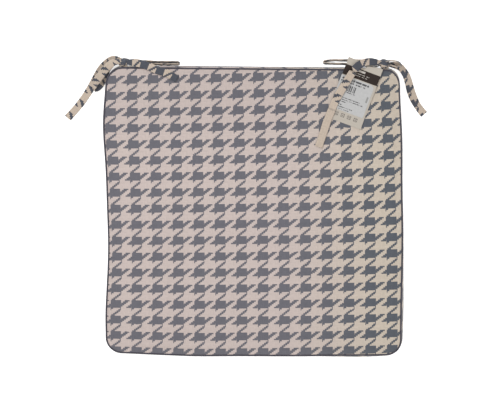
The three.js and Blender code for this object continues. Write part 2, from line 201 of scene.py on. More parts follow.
def tone(red, green, blue):
    """A colour named as a screen shows it, 0 to 255, turned into the linear one of a shader."""
    def linear(level):
        share = level / 255
        return share / 12.92 if share <= 0.04045 else ((share + 0.055) / 1.055) ** 2.4
    return (linear(red), linear(green), linear(blue), 1)


print("recipes can be written")

# %% [markdown]
# ## The houndstooth cloth
# Houndstooth is a twill woven from dark and light threads in equal bands, both ways. Where
# dark crosses dark the cloth is dark, where light crosses light it is light, and in the two
# mixed quarters the twill's steps make the teeth. So the pattern is worked out thread by
# thread, on a cloth place that every cloth piece carries as an attribute, in metres: across
# the cloth and along it. The pattern then follows a strap round its bow.

# %% The houndstooth weave
REPEAT_ACROSS = 28.75 * MM
REPEAT_ALONG = 22.5 * MM
THREADS = 12
LIGHT_YARN = tone(195, 181, 176)
DARK_YARN = tone(102, 101, 109)


# Tints of painted light to the right of the cloth: warm light on the light yarn, painted shade on the dark
# yarn.
LIGHT_YARN_WARM_LIGHT_TINT = (1.02, 1.05, 0.93)
DARK_YARN_SHADE_TINT = (0.66, 0.76, 0.78)


def warmed(colour, factors):
    return tuple(level * factor for level, factor in zip(colour, factors)) + (1,)


# The last argument scales the painted light and shade on the cloth; 0 paints none.
def houndstooth(name, light=LIGHT_YARN, dark=DARK_YARN, painted_light_share=1.0):
    recipe = Recipe(name, roughness=0.75, Sheen_Weight=0.2, Sheen_Roughness=0.5, Specular_IOR_Level=0.35)
    place = recipe.place()
    across, along, _ = recipe.split(place)
    u = across * (THREADS / REPEAT_ACROSS)
    v = along * (THREADS / REPEAT_ALONG)
    column = u.floor()
    row = v.floor()
    dark_warp = (column % THREADS) < THREADS / 2
    dark_weft = (row % THREADS) < THREADS / 2
    step = (u + row + 1) % (THREADS / 2)
    tooth_on_light = step.between(0.5, 2.5)
    tooth_on_dark = step.between(3.1, 5.9)
    is_dark = (
        dark_warp * dark_weft
        + dark_warp * (1 - dark_weft) * tooth_on_light
        + (1 - dark_warp) * dark_weft * tooth_on_dark
    )
    # The thread that is on top in a cell is a ridge, two threads to a cell.
    warp_up = ((column + row + 1) % (THREADS / 2)) < THREADS / 4
    warp_ridge = abs((u * (math.pi * 2)).sine())
    weft_ridge = abs((v * (math.pi * 2)).sine())
    ridge = warp_up * warp_ridge + (1 - warp_up) * weft_ridge
    thread = recipe.speck(recipe.join((u * 2).floor() * warp_up, (v * 2).floor() * (1 - warp_up), warp_up))
    slub = recipe.noise(recipe.join(u, v), 0.9, 3.0)
    shade = 0.86 + ridge * 0.12 + (thread - 0.5) * 0.09 + (slub - 0.5) * 0.16
    # Painted light: towards the right of the cloth the light yarn is painted yellower, as in warm light, and
    # the dark yarn darker and greyer, as painted shade; towards its far end, the rear, the whole cloth is
    # painted a little darker, as painted shade.
    painted_light_to_right = across.ramp(-60 * MM, 100 * MM) * painted_light_share
    painted_rear_shade = 1 - 0.11 * painted_light_share + along.ramp(-200 * MM, -40 * MM) * (0.11 * painted_light_share)
    pale = recipe.blend(painted_light_to_right, light, warmed(light, LIGHT_YARN_WARM_LIGHT_TINT))
    deep = recipe.blend(painted_light_to_right, dark, warmed(dark, DARK_YARN_SHADE_TINT))
    recipe.feed("Base Color", recipe.shaded(recipe.blend(is_dark, pale, deep), shade * painted_rear_shade))
    recipe.feed("Roughness", 0.84 - ridge * 0.14)
    recipe.bump(ridge * 0.7 + slub * 0.6, 0.25 * MM, 0.55)
    return recipe.material


pad_cloth = houndstooth("houndstooth_cloth")
# The ties' cloth gets no painted light or shade.
tie_cloth = houndstooth("houndstooth_tie_cloth", tone(188, 173, 158), tone(70, 73, 82), painted_light_share=0.0)
print("cloth repeats every", REPEAT_ACROSS, "by", REPEAT_ALONG, "m")

# %% [markdown]
# ## Plain finishes
# The piping is cut on the bias from plain cloth, so its threads cross it slantwise. Foam,
# wadding, cord, tape and metal are simple recipes, each with its own grain.

# %% Piping, stuffing, zip and loop finishes
def woven(name, colour, thread, slant=0.0, contrast=0.25, on_place=True):
    """Plain weave of one colour: over and under, each thread a low ridge."""
    recipe = Recipe(name, roughness=0.85, Sheen_Weight=0.2, Sheen_Roughness=0.5)
    across, along, third = recipe.split(recipe.place() if on_place else recipe.position())
    if not on_place:
        along = along + third
    first = (across + along * slant) * (math.pi / thread)
    second = (along - across * slant) * (math.pi / thread)
    weave = abs(first.sine() * second.sine())
    patch = recipe.noise(recipe.join(across, along), 90.0, 3.0)
    shade = 1 - contrast + weave * contrast + (patch - 0.5) * 0.35
    recipe.feed("Base Color", recipe.shaded(colour, shade))
    recipe.bump(weave, 0.12 * MM, 0.6)
    return recipe.material


def grainy(name, colour, scale, depth, roughness=0.95):
    """Foam, wadding or moulded plastic: one colour broken up by a fine grain."""
    recipe = Recipe(name, roughness=roughness)
    grain = recipe.noise(recipe.position(), scale, 4.0)
    recipe.feed("Base Color", recipe.shaded(colour, 0.82 + grain * 0.36))
    recipe.bump(grain, depth, 0.6)
    return recipe.material


def metal(name, colour, roughness):
    recipe = Recipe(name, Metallic=1.0)
    wear = recipe.noise(recipe.position(), 900.0, 3.0)
    recipe.feed("Roughness", roughness - 0.08 + wear * 0.2)
    recipe.feed("Base Color", recipe.blend(wear.ramp(0.55, 0.75) * 0.35, colour, tone(120, 118, 112)))
    return recipe.material


piping_cloth = woven("piping_bias_cloth", tone(66, 63, 74), 0.45 * MM, slant=1.0)
cord_cotton = woven("piping_filler_cotton", tone(226, 218, 202), 0.9 * MM, slant=0.6)
foam = grainy("cushion_foam", tone(238, 228, 182), 1500.0, 0.4 * MM)
wadding = grainy("polyester_wadding", tone(244, 243, 240), 260.0, 0.8 * MM)
zip_tape = woven("zip_tape_ribbed", tone(74, 72, 80), 0.5 * MM)
coil_plastic = grainy("zip_coil_polyester", tone(58, 57, 63), 1200.0, 0.02 * MM, roughness=0.38)
zip_metal = metal("zip_dulled_nickel", tone(196, 193, 188), 0.28)
# The tag loop is black, and its black also serves as painted shade in the punched hole.
loop_black_and_hole_shade = grainy("tag_loop_elastic", tone(34, 31, 32), 900.0, 0.05 * MM, roughness=0.5)
print("finishes:", len(bpy.data.materials))

# %% [markdown]
# ## Meshes from rows of points
# Almost every piece here is a strip or a tube: rows of points joined into four-sided faces.
# `add_piece` makes the object and stores the cloth place of each point. `sweep` joins rings
# into a tube, and `slab` gives a sheet of points a thickness and closes its edges.

# %% Mesh helpers
def add_piece(name, points, faces, places, material, sharp=50):
    mesh = bpy.data.meshes.new(name)
    mesh.from_pydata(np.asarray(points, float).reshape(-1, 3).tolist(), [], faces)
    layer = mesh.attributes.new("cloth_place", "FLOAT_VECTOR", "POINT")
    layer.data.foreach_set("vector", np.asarray(places, np.float32).ravel())
    mesh.shade_smooth()
    mesh.set_sharp_from_angle(angle=math.radians(sharp))
    mesh.materials.append(material)
    piece = bpy.data.objects.new(name, mesh)
    bpy.context.collection.objects.link(piece)
    return piece


def quads(rows, columns, around_rows=False, around_columns=False, first=0):
    """Faces of a grid of points, which may close on itself either way."""
    faces = []
    for i in range(rows if around_rows else rows - 1):
        for j in range(columns if around_columns else columns - 1):
            after_i, after_j = (i + 1) % rows, (j + 1) % columns
            corners = (i * columns + j, after_i * columns + j,
                       after_i * columns + after_j, i * columns + after_j)
            faces.append(tuple(first + corner for corner in corners))
    return faces


def sweep(name, rings, places, material, closed=False, sharp=50):
    """A tube through rings of points; an open one gets a lid at each end."""
    rows, columns, _ = rings.shape
    faces = quads(rows, columns, around_rows=closed, around_columns=True)
    if not closed:
        faces.append(tuple(range(columns)))
        faces.append(tuple(range((rows - 1) * columns, rows * columns))[::-1])
    return add_piece(name, rings, faces, places, material, sharp)


def slab(name, outer, inner, places, material, sharp=50):
    """A closed sheet between an outer and an inner grid of points."""
    rows, columns, _ = outer.shape
    count = rows * columns
    faces = quads(rows, columns)
    faces += [face[::-1] for face in quads(rows, columns, first=count)]
    number = np.arange(count).reshape(rows, columns)
    edge = [*number[0, :-1], *number[:-1, -1], *number[-1, :0:-1], *number[:0:-1, 0]]
    for here, after in zip(edge, edge[1:] + edge[:1]):
        faces.append((int(here), int(after), int(after) + count, int(here) + count))
    points = np.concatenate([outer.reshape(-1, 3), inner.reshape(-1, 3)])
    return add_piece(name, points, faces, np.concatenate([places.reshape(-1, 3)] * 2), material, sharp)


def settle_in(piece, body, slot, *nodes):
    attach(piece, body)
    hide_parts(*nodes)
    return piece


def wobble(x, y, z, size, depth):
    """A smooth unevenness, the same at every run."""
    return depth * noise.noise(Vector((x, y, z)) / size)


print("mesh helpers are ready")

# %% [markdown]
# ## The ties
# Each rear corner has two straps of folded cloth, sewn into the boxing and tied in a bow.
# A strap is a flat thing that bends easily one way, so it is lofted: a flat section is
# carried along a smooth line through the same points as its plain solid, and turned by a
# list of directions across it. One strap makes a loop, goes back through the knot and
# hangs out as a tail, so each piece here is a loop and a tail in one length of cloth.

# %% Where the straps go
# Points are in millimetres from the pad's rear corner, with the height above the underside.
FLAT = (0.69, -0.72, 0)
UPRIGHT = (0, 0, 1)
LEANING = (0, 0.3, 0.95)
LEFT_LOOP_OUTER = (
    [(19, 7, 28), (10, 6.5, 28), (1.5, -0.5, 25), (-7, -10.5, 20), (-14, -19.5, 14.5), (-18.5, -26, 9.8),
     (-19.3, -29.8, 7.2), (-16, -31, 5.4), (-10, -26, 6.4), (-5, -16, 10), (-1, -5, 15),
     (6, 3.5, 19.5), (17, 6.5, 22.5)],
    [(0.25, -0.95, 0.1), FLAT, FLAT, FLAT, (0.62, -0.75, -0.2), (0.25, -0.9, 0.3)],
)
LEFT_LOOP_REAR = (
    [(27, 8, 23.5), (38, 7.4, 23.5), (58, 6.9, 23.5), (80, 6.6, 23.5), (92, 6.6, 23.5),
     (97.4, 6, 23.5), (98, 5, 23.5), (96.5, 4, 23.5), (89, 3.6, 23.5), (70, 3.6, 23.5),
     (48, 3.6, 23.5), (36, 4, 23.5), (27, 5, 23.5)],
    [LEANING],
)
LEFT_TAIL_OUTER = (
    [(20, 8, 21), (11, 9.5, 16), (1, 5, 10), (-9, -6, 4.6), (-16.5, -19, 1.9), (-22, -29.5, 1.2),
     (-29, -41, 1.2), (-39, -55, 1.2), (-54, -72, 1.2)],
    [(0.3, -0.95, 0), (0.75, -0.66, 0), (0.84, -0.54, 0), (0.78, -0.62, 0)],
)
LEFT_TAIL_TOP = (
    [(25, 6, 28), (34, 6.3, 31), (45, 5, 32.2), (57, 1.2, 33), (68, -3.5, 33), (81, -7.5, 32.7),
     (94.5, -15.5, 32.3)],
    [(0, 1, 0.2), (0.15, 1, 0), (0.5, 0.87, 0), (0.5, 0.87, 0)],
)
RIGHT_LOOP_REAR = (
    [(-32, 9.5, 23.5), (-45, 10.6, 23.5), (-65, 11, 23.5), (-88, 11, 23.5), (-104, 10.4, 23.5),
     (-110, 8.8, 23.5), (-109.2, 7.2, 23.5), (-102, 6.6, 23.5), (-80, 6.2, 23.5), (-56, 5.6, 23.5),
     (-42, 5.6, 23.5), (-32, 6, 23.5)],
    [LEANING],
)
RIGHT_LOOP_SIDE = (
    [(-28, 10, 27), (-20, 11.5, 28.5), (-12, 11, 28), (-6.5, 8, 27), (-5.6, 4.6, 26.2),
     (-10, 3.6, 25.8), (-17, 4.4, 25.6), (-26, 6, 25)],
    [UPRIGHT],
)
RIGHT_TAIL_TAG = (
    [(-33, 8.5, 28.5), (-42, 10, 32.5), (-53, 9.8, 35.5), (-61.5, 6, 37.4), (-68, -0.5, 38.2),
     (-73, -8, 37.6), (-79, -18, 35.6), (-86, -29.5, 34), (-92.5, -42, 33.3), (-98, -55.5, 33.3),
     (-104, -71, 33.2), (-109, -87, 32.6), (-114.8, -105, 32.3)],
    [(0, 1, 0.1), (0.1, 1, 0), (0.8, -0.6, 0), (0.9, -0.42, 0), (0.93, -0.36, 0), (0.95, -0.32, 0)],
)
RIGHT_TAIL_SIDE = (
    [(-23.5, 5.8, 20.3), (-14, 4.8, 18.6), (-6.5, 2, 18.4), (0, -6, 17.4), (4.5, -17, 14.5),
     (8, -30, 9.5), (13, -43, 4.8), (19.5, -54, 2.2), (26.5, -62.5, 1.2)],
    [(0.2, 0.9, 0.2), (0.6, 0.5, -0.6), (0.9, 0.36, -0.2), (0.92, 0.38, 0), (0.8, 0.6, 0)],
)
KNOTS = {side: sum(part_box(f"{side}_tie_knot"), Vector()) / 2 for side in ("left", "right")}
print("knots at", {side: tuple(round(v, 4) for v in place) for side, place in KNOTS.items()})

# %% A smooth line through points
def smooth_line(points, step=2.2 * MM):
    """Centripetal spline through the points, as places evenly spaced along it."""
    ghosts = [2 * points[0] - points[1], *points, 2 * points[-1] - points[-2]]
    dense, knots = [], []
    for number in range(1, len(ghosts) - 2):
        p0, p1, p2, p3 = ghosts[number - 1:number + 3]
        t1 = np.linalg.norm(p1 - p0) ** 0.5
        t2 = t1 + np.linalg.norm(p2 - p1) ** 0.5
        t3 = t2 + np.linalg.norm(p3 - p2) ** 0.5
        for share in np.arange(16) / 16:
            t = t1 + share * (t2 - t1)
            a1 = p0 * (t1 - t) / t1 + p1 * t / t1
            a2 = p1 * (t2 - t) / (t2 - t1) + p2 * (t - t1) / (t2 - t1)
            a3 = p2 * (t3 - t) / (t3 - t2) + p3 * (t - t2) / (t3 - t2)
            b1 = a1 * (t2 - t) / t2 + a2 * t / t2
            b2 = a2 * (t3 - t) / (t3 - t1) + a3 * (t - t1) / (t3 - t1)
            dense.append(b1 * (t2 - t) / (t2 - t1) + b2 * (t - t1) / (t2 - t1))
    dense = np.array([*dense, points[-1]])
    run = np.concatenate([[0], np.cumsum(np.linalg.norm(np.diff(dense, axis=0), axis=1))])
    stops = np.linspace(0, run[-1], max(4, round(run[-1] / step) + 1))
    return np.stack([np.interp(stops, run, dense[:, axis]) for axis in range(3)], 1), run[-1]


def spread(directions, count):
    """Directions spread evenly over count places."""
    directions = np.array(directions, float)
    place = np.linspace(0, len(directions) - 1, count)
    return np.stack([np.interp(place, np.arange(len(directions)), directions[:, axis])
                     for axis in range(3)], 1)


def unit(vectors):
    return vectors / np.linalg.norm(vectors, axis=-1, keepdims=True)


# %% A strap of folded cloth
TIE_WIDTH = 10.5 * MM
TIE_THICKNESS = 1.4 * MM
GATHER_LENGTH = 14 * MM
GATHERED_SHARE = 0.55
HEM = 7 * MM
# Half of the section, from one folded edge over the middle to the other: (across, lift).
STRAP_SIDE = [(-1, 0), (-0.97, 0.62), (-0.86, 1), (-0.7, 0.84), (-0.3, 0.9), (0.3, 0.9), (0.7, 0.84),
              (0.86, 1), (0.97, 0.62)]
STRAP_SECTION = np.array(STRAP_SIDE + [(-across, -lift) for across, lift in STRAP_SIDE])


def strap(name, lines, knot, front, back, seed, plain_from):
    """Lofts one strap along a loop and a tail, which meet in the knot."""
    centres, across, gather = [], [], []
    for number, (line, directions, ends) in enumerate(lines):
        points, length = smooth_line(line)
        turned = spread(directions, len(points))
        if number:
            sign = 1 if np.dot(turned[0], across[-1]) > 0 else -1
            centres.append(np.array(knot, float))
            across.append(unit(across[-1] + sign * turned[0] + 1e-6))
            gather.append(GATHERED_SHARE)
            turned = turned * sign
        run = np.linspace(0, length, len(points))
        from_knot = np.minimum(run, length - run) if ends == 2 else run
        share = GATHERED_SHARE + (1 - GATHERED_SHARE) * np.minimum(from_knot / GATHER_LENGTH, 1)
        centres.extend(points)
        across.extend(turned)
        gather.extend(share)
    centres, across, gather = np.array(centres), np.array(across), np.array(gather)
    tangent = unit(np.gradient(centres, axis=0))
    normal = unit(np.cross(tangent, across))
    side = np.cross(normal, tangent)
    run = np.concatenate([[0], np.cumsum(np.linalg.norm(np.diff(centres, axis=0), axis=1))])
    rings, places = [], []
    for number, centre in enumerate(centres):
        along = run[number]
        part_along = along
        if along > plain_from:
            # The pale stretch of a strap: to and fro inside one light band of the cloth.
            part_along = 14 * MM + abs((along - plain_from) % (16 * MM) - 8 * MM)
        lift = wobble(along, seed, 0, 11 * MM, 0.45 * MM) + wobble(along, seed, 1, 5 * MM, 0.15 * MM)
        width = TIE_WIDTH / 2 * gather[number] * (1 + wobble(along, seed, 2, 14 * MM, 0.10))
        left = run[-1] - along
        hem = 1.35 if left < HEM else 1.0
        half = TIE_THICKNESS / 2 * hem * (1 if left > 0.5 * MM else 0.75)
        flare = 1 + (1 - gather[number]) * 1.2
        ring, place = [], []
        for corner, (over, up) in enumerate(STRAP_SECTION):
            crease = wobble(over * 0.004, along, seed, 4 * MM, (1 - gather[number]) * 1.6 * MM)
            ring.append(centre + side[number] * over * width
                        + normal[number] * (up * half * flare + lift + crease))
            part = front if corner < len(STRAP_SIDE) else back
            place.append((part[0] * REPEAT_ACROSS + over * TIE_WIDTH / 2,
                          part[1] * REPEAT_ALONG * (along < plain_from) + part_along, seed))
        rings.append(ring)
        places.append(place)
    piece = sweep(name, np.array(rings), np.array(places), tie_cloth, sharp=70)
    return piece, centres, run[-1]


# %% Four straps, two to a bow
def bow_strap(name, side, loop, tail, front, back, seed, *nodes, plain_from=1.0):
    corner = np.array([-HALF_WIDTH if side == "left" else HALF_WIDTH, HALF_DEPTH, 0])
    lines = [(list(np.array(points) * MM + corner), directions, ends)
             for (points, directions), ends in ((loop, 2), (tail, 1))]
    piece, path, length = strap(name, lines, KNOTS[side], front, back, seed, plain_from)
    settle_in(piece, "pad", "tie_cloth", *nodes)
    print(name, "is", round(length, 3), "m long")
    return piece


# Where each face was cut: shares of a repeat across the cloth, then along it.
bow_strap("left_tie_strap_outer", "left", LEFT_LOOP_OUTER, LEFT_TAIL_TOP, (0.77, 0.0), (0.27, 0.2), 0.4,
          "left_tie_loop_outer", "left_tie_tail_top")
bow_strap("left_tie_strap_rear", "left", LEFT_LOOP_REAR, LEFT_TAIL_OUTER, (0.3, 0.5), (0.75, 0.3), 0.8,
          "left_tie_loop_rear", "left_tie_tail_outer")
bow_strap("right_tie_strap_rear", "right", RIGHT_LOOP_REAR, RIGHT_TAIL_SIDE, (0.5, 0.5), (0.5, 0.0), 1.1,
          "right_tie_loop_rear", "right_tie_tail_side")
bow_strap("right_tie_strap_side", "right", RIGHT_LOOP_SIDE, RIGHT_TAIL_TAG, (0.77, 0.0), (0.3, 0.3), 1.5,
          "right_tie_loop_side", "right_tie_tail_tag", plain_from=158 * MM)

# %% [markdown]
# ## The tag's loop
# The hang tag swings on a thin black loop that leaves the knot, passes up through the
# punched hole and returns over the card's top edge; in the hole its black also stands in for the shade there,
# as painted shade. It is a round tube along one line.

# %% The tag's loop
LOOP_RADIUS = 0.45 * MM
TIE_LEVEL = 25.12 * MM
TAG_HOLE = Vector((HALF_WIDTH - 54.5 * MM, HALF_DEPTH + 3 * MM, 0))
BELOW_CARD = CROWN - 0.35 * MM
ABOVE_CARD = CROWN + 1.9 * MM


def tag_loop():
    knot_x, knot_y, _ = KNOTS["right"]
    hole_x, hole_y, _ = TAG_HOLE
    points = [
        (knot_x, knot_y, TIE_LEVEL + 2 * MM),
        (knot_x - 9 * MM, knot_y - 3 * MM, BELOW_CARD - 1.2 * MM),
        (hole_x + 4 * MM, hole_y + 1.4 * MM, BELOW_CARD),
        (hole_x + 0.6 * MM, hole_y + 0.3 * MM, BELOW_CARD + 0.35 * MM),
        (hole_x, hole_y, CROWN + 0.55 * MM),
        (hole_x + 0.6 * MM, hole_y + 0.3 * MM, ABOVE_CARD - 0.4 * MM),
        (hole_x + 4 * MM, hole_y + 1.4 * MM, ABOVE_CARD),
        (knot_x - 10 * MM, knot_y - 3.6 * MM, ABOVE_CARD - 0.8 * MM),
        (knot_x - 4 * MM, knot_y - 1 * MM, TIE_LEVEL + 5 * MM),
    ]
    line, length = smooth_line([np.array(point) for point in points], step=0.7 * MM)
    tangent = unit(np.gradient(line, axis=0))
    side = unit(np.cross(tangent, (0.4, 0.9, 0.1)))
    lift = np.cross(side, tangent)
    angles = np.linspace(0, 2 * math.pi, 8, endpoint=False)
    rings = (line[:, None] + LOOP_RADIUS * (np.cos(angles)[None, :, None] * side[:, None]
             + np.sin(angles)[None, :, None] * lift[:, None]))
    piece = sweep("tag_loop", rings, rings, loop_black_and_hole_shade)
    settle_in(piece, "pad", "tag_nylon", "tag_fastener")
    return length


print("tag loop", round(tag_loop(), 4), "m")

# %% [markdown]
# ## The plan of the pad
# Every seam of the cover runs parallel to one outline, a rectangle a little wider than deep
# with rounded corners. Real sewing is never exact: here the left side swells behind and draws
# in at the front, the right side is pulled in towards its bow, and the front is a little out
# of square. The underside stands out past the top at the front right.

# %% Outline, and how the sewn cover strays from it
ARC_STEPS = 24


def outline():
    """Run, x, y and outward angle along the pad's outline, clockwise from the middle of the rear."""
    centre_x, centre_y = HALF_WIDTH - CORNER_RADIUS, HALF_DEPTH - CORNER_RADIUS
    x, y, angle = [0.0], [HALF_DEPTH], [math.pi / 2]
    for number, (side_x, side_y) in enumerate(((1, 1), (1, -1), (-1, -1), (-1, 1))):
        for step in range(ARC_STEPS + 1):
            turn = math.pi / 2 * (1 - number - step / ARC_STEPS)
            x.append(side_x * centre_x + CORNER_RADIUS * math.cos(turn))
            y.append(side_y * centre_y + CORNER_RADIUS * math.sin(turn))
            angle.append(turn)
    x.append(0.0)
    y.append(HALF_DEPTH)
    angle.append(-1.5 * math.pi)
    run = np.concatenate([[0], np.cumsum(np.hypot(np.diff(x), np.diff(y)))])
    return run, np.array(x), np.array(y), np.array(angle)


OUTLINE = outline()
GIRTH = OUTLINE[0][-1]


def rim(run, inset, height):
    """Places on a line parallel to the outline, before the cover strays."""
    run, inset, height = np.broadcast_arrays(run, inset, height)
    x, y, angle = (np.interp(run, OUTLINE[0], values) for values in OUTLINE[1:])
    return np.stack([x - np.cos(angle) * inset, y - np.sin(angle) * inset, height], -1)


def bell(value, centre, width):
    return np.exp(-((value - centre * MM) / (width * MM)) ** 2)


def stray(points):
    """Moves points of the cover in plan, most at the rim and not at all in the middle.

    Each bell is how far the seam strays, in millimetres, about one place along its side. The
    share low is 1 at the underside and 0 at the top.
    """
    x, y = points[..., 0], points[..., 1]
    low = 1 - np.clip(points[..., 2] / HEIGHT, 0, 1)
    out_left = 4.8 * bell(y, 118, 52) - 2.6 * bell(y, -50, 55) + 0.8 * bell(y, -140, 30)
    out_right = -6.6 * bell(y, 178, 75) - 1.8 * bell(y, 45, 55) + 0.3 * bell(y, -60, 90)
    out_right = out_right + (2.6 * low - 0.9) * bell(y, -130, 60)
    side = np.where(x > 0, out_right, -out_left) * MM
    moved = points.copy()
    moved[..., 0] = x + side * np.abs(x / HALF_WIDTH) ** 5
    front = 0.6 * MM * x / HALF_WIDTH - 2.6 * MM * bell(x, 205, 42) - 1.6 * MM * bell(x, -190, 45)
    front = front + 1.2 * MM * bell(x, -75, 45) + (5.8 * low - 2.4) * MM * bell(x, 140, 70)
    moved[..., 1] = y - front * np.where(y < 0, np.abs(y / HALF_DEPTH) ** 3, 0)
    return moved


print("the pad is", round(GIRTH, 3), "m round")

# %% [markdown]
# ## The cover
# A boxed cover has a top and a bottom panel and a strip, the boxing, between them. Cloth
# over foam is best made by cloth simulation: each panel is held at its seams, its cloth has
# a little ease near them, and the stuffing presses it out from inside. What it does there,
# the small puckers along the seams, is kept. The foam keeps the middle flat.

# %% Panels as grids of points
PANEL_CELLS = 84
RIM_FINENESS = 0.55
EDGE_CURVE = 6.5 * MM


def graded(count):
    """Places from -1 to 1, closer together towards both ends."""
    even = np.linspace(-1, 1, count + 1)
    return (1 - RIM_FINENESS) * even + RIM_FINENESS * np.sin(even * math.pi / 2)


def panel_grid(inset, edge_height, crown):
    """A panel: a square grid drawn to the rounded outline, domed from its seam to the crown."""
    across, along = np.meshgrid(graded(PANEL_CELLS), graded(PANEL_CELLS), indexing="ij")
    level = np.maximum(np.maximum(np.abs(across), np.abs(along)), 1e-9)
    ray_x, ray_y = np.abs(across) / level, np.abs(along) / level
    half, radius = HALF_WIDTH - inset, CORNER_RADIUS - inset
    square = ray_x**2 + ray_y**2
    reach = (half - radius) * (ray_x + ray_y)
    root = np.sqrt(np.maximum(reach**2 - square * (2 * (half - radius) ** 2 - radius**2), 0))
    rounded = np.minimum(ray_x, ray_y) * half > half - radius
    stretch = np.where(rounded, (reach + root) / square, half)
    x, y = across * stretch, along * stretch
    shorter = HALF_WIDTH - HALF_DEPTH
    y = y - np.sign(y) * shorter * np.minimum(np.abs(y) / (half - radius), 1)
    from_seam = (1 - level) * half
    height = edge_height + (crown - edge_height) * (1 - np.exp(-from_seam / EDGE_CURVE))
    return np.stack([x, y, height], -1), from_seam


SEAM_COVER = 0.65 * MM
SEAM_LIFT = 1.25 * MM
top_flat, from_seam = panel_grid(SEAM_INSET - SEAM_COVER, SEAM_HEIGHT + SEAM_LIFT, CROWN)
bottom_flat, _ = panel_grid(SEAM_INSET - SEAM_COVER, HEIGHT - SEAM_HEIGHT - SEAM_LIFT, 0.0)
print("panel grid", top_flat.shape[:2])

# %% The boxing as a grid
BOXING_INSET = 0.3 * MM
BOXING_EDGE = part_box("boxing_front_and_sides")[0].z
BOXING_ROWS = 9
BOXING_STEP = 4.5 * MM
ZIP_END = 155.7 * MM
BULGE = 0.9 * MM


def boxing_grid(first, last, low, high, bulge):
    columns = round((last - first) / BOXING_STEP) + 1
    run = np.linspace(first, last, columns)[:, None]
    share = np.linspace(0, 1, BOXING_ROWS)[None, :]
    inset = BOXING_INSET + 0.5 * MM - bulge * (1 - (2 * share - 1) ** 2)
    height = low + (high - low) * (0.5 - 0.5 * np.cos(share * math.pi))
    return rim(run, inset, height), run + 0 * share


boxing_flat, boxing_run = boxing_grid(ZIP_END, GIRTH - ZIP_END, BOXING_EDGE, HEIGHT - BOXING_EDGE, BULGE)
print("boxing grid", boxing_flat.shape[:2])

# %% Pressed out by the stuffing
EASE = 0.035
EASE_WIDTH = 16 * MM
PRESSURE = 4
SIM_FRAMES = 20
LARGEST_MOVE = 3 * MM


def as_cloth(grid, ease):
    """A cloth object held along its edges, with spare cloth where ease is 1."""
    rows, columns, _ = grid.shape
    piece = add_piece("cloth_in_work", grid, quads(rows, columns), grid, pad_cloth)
    held = piece.vertex_groups.new(name="held")
    number = np.arange(rows * columns).reshape(rows, columns)
    edge = np.concatenate([number[0], number[-1], number[:, 0], number[:, -1]])
    held.add([int(value) for value in np.unique(edge)], 1.0, "REPLACE")
    eased = piece.vertex_groups.new(name="eased")
    for place, share in enumerate(ease.ravel()):
        eased.add([place], float(share), "REPLACE")
    modifier = piece.modifiers.new("cloth", "CLOTH")
    cloth = modifier.settings
    cloth.quality = 5
    cloth.mass = 0.3
    cloth.tension_stiffness = 25
    cloth.compression_stiffness = 25
    cloth.shear_stiffness = 12
    cloth.bending_stiffness = 0.3
    cloth.vertex_group_mass = "held"
    cloth.vertex_group_shrink = "eased"
    cloth.shrink_min = 0.0
    cloth.shrink_max = -EASE
    cloth.use_pressure = True
    cloth.uniform_pressure_force = PRESSURE
    cloth.effector_weights.gravity = 0
    modifier.collision_settings.use_collision = False
    modifier.point_cache.frame_end = SIM_FRAMES
    return piece


def press_out(grids_and_ease):
    """Runs the simulation on all grids together and returns where their points went."""
    pieces = [as_cloth(grid, ease) for grid, ease in grids_and_ease]
    for number in range(1, SIM_FRAMES + 1):
        bpy.context.scene.frame_set(number)
    graph = bpy.context.evaluated_depsgraph_get()
    results = []
    for piece, (grid, _) in zip(pieces, grids_and_ease):
        flat = np.empty(grid.size)
        piece.evaluated_get(graph).data.vertices.foreach_get("co", flat)
        move = flat.reshape(grid.shape) - grid
        size = np.linalg.norm(move, axis=-1, keepdims=True)
        results.append(grid + move * np.minimum(1, LARGEST_MOVE / np.maximum(size, 1e-9)))
        bpy.data.objects.remove(piece)
    bpy.context.scene.frame_set(1)
    return results


def near_seam(distance):
    return np.exp(-(distance / EASE_WIDTH) ** 2)


grids_and_ease = [
    (top_flat, near_seam(from_seam)),
    (bottom_flat[::-1], near_seam(from_seam)),
    (boxing_flat[:, ::-1], np.full(boxing_flat.shape[:2], 0.6)),
]
pressed = press_out(grids_and_ease)
top_pressed, bottom_pressed, boxing_pressed = pressed[0], pressed[1][::-1], pressed[2][:, ::-1]
print("top moved by up to", round(float(np.abs(top_pressed - top_flat).max()) / MM, 2), "mm")

# %% The foam's limits
SAG = 1.6 * MM
RISE = 0.15 * MM
DENT = 0.45 * MM
WADDING_FROM_SEAM = 8 * MM
WADDING_GAP = 0.25 * MM


def dents(grid, seed):
    """Low, wide unevenness of the foam under the cloth."""
    return np.array([[wobble(x, y, seed, 46 * MM, DENT) + wobble(x, y, seed + 0.2, 19 * MM, 0.3 * DENT)
                      for x, y, _ in row] for row in grid])


def held_between(pressed, flat, seed):
    shaped = pressed.copy()
    lift = pressed[..., 2] - flat[..., 2]
    inner = 1 - np.exp(-from_seam / EDGE_CURVE)
    upwards = 1 if flat[..., 2].mean() > HEIGHT / 2 else -1
    rise = np.clip(upwards * lift - LARGEST_MOVE * 0.45 * inner, -SAG, RISE) + dents(flat, seed) * inner
    shaped[..., 2] = flat[..., 2] + upwards * np.clip(rise, -SAG, RISE)
    over_wadding = from_seam > WADDING_FROM_SEAM
    if upwards > 0:
        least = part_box("top_wadding")[1].z + WADDING_GAP
        shaped[..., 2] = np.where(over_wadding, np.maximum(shaped[..., 2], least), shaped[..., 2])
    else:
        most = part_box("bottom_wadding")[0].z - WADDING_GAP
        shaped[..., 2] = np.where(over_wadding, np.minimum(shaped[..., 2], most), shaped[..., 2])
    return shaped


top_shape = held_between(top_pressed, top_flat, 1.0)
bottom_shape = held_between(bottom_pressed, bottom_flat, 7.0)
bottom_shape[..., 2] = np.maximum(bottom_shape[..., 2], 0.0)
print("crown", round(float(top_shape[..., 2].max()), 4), "m")

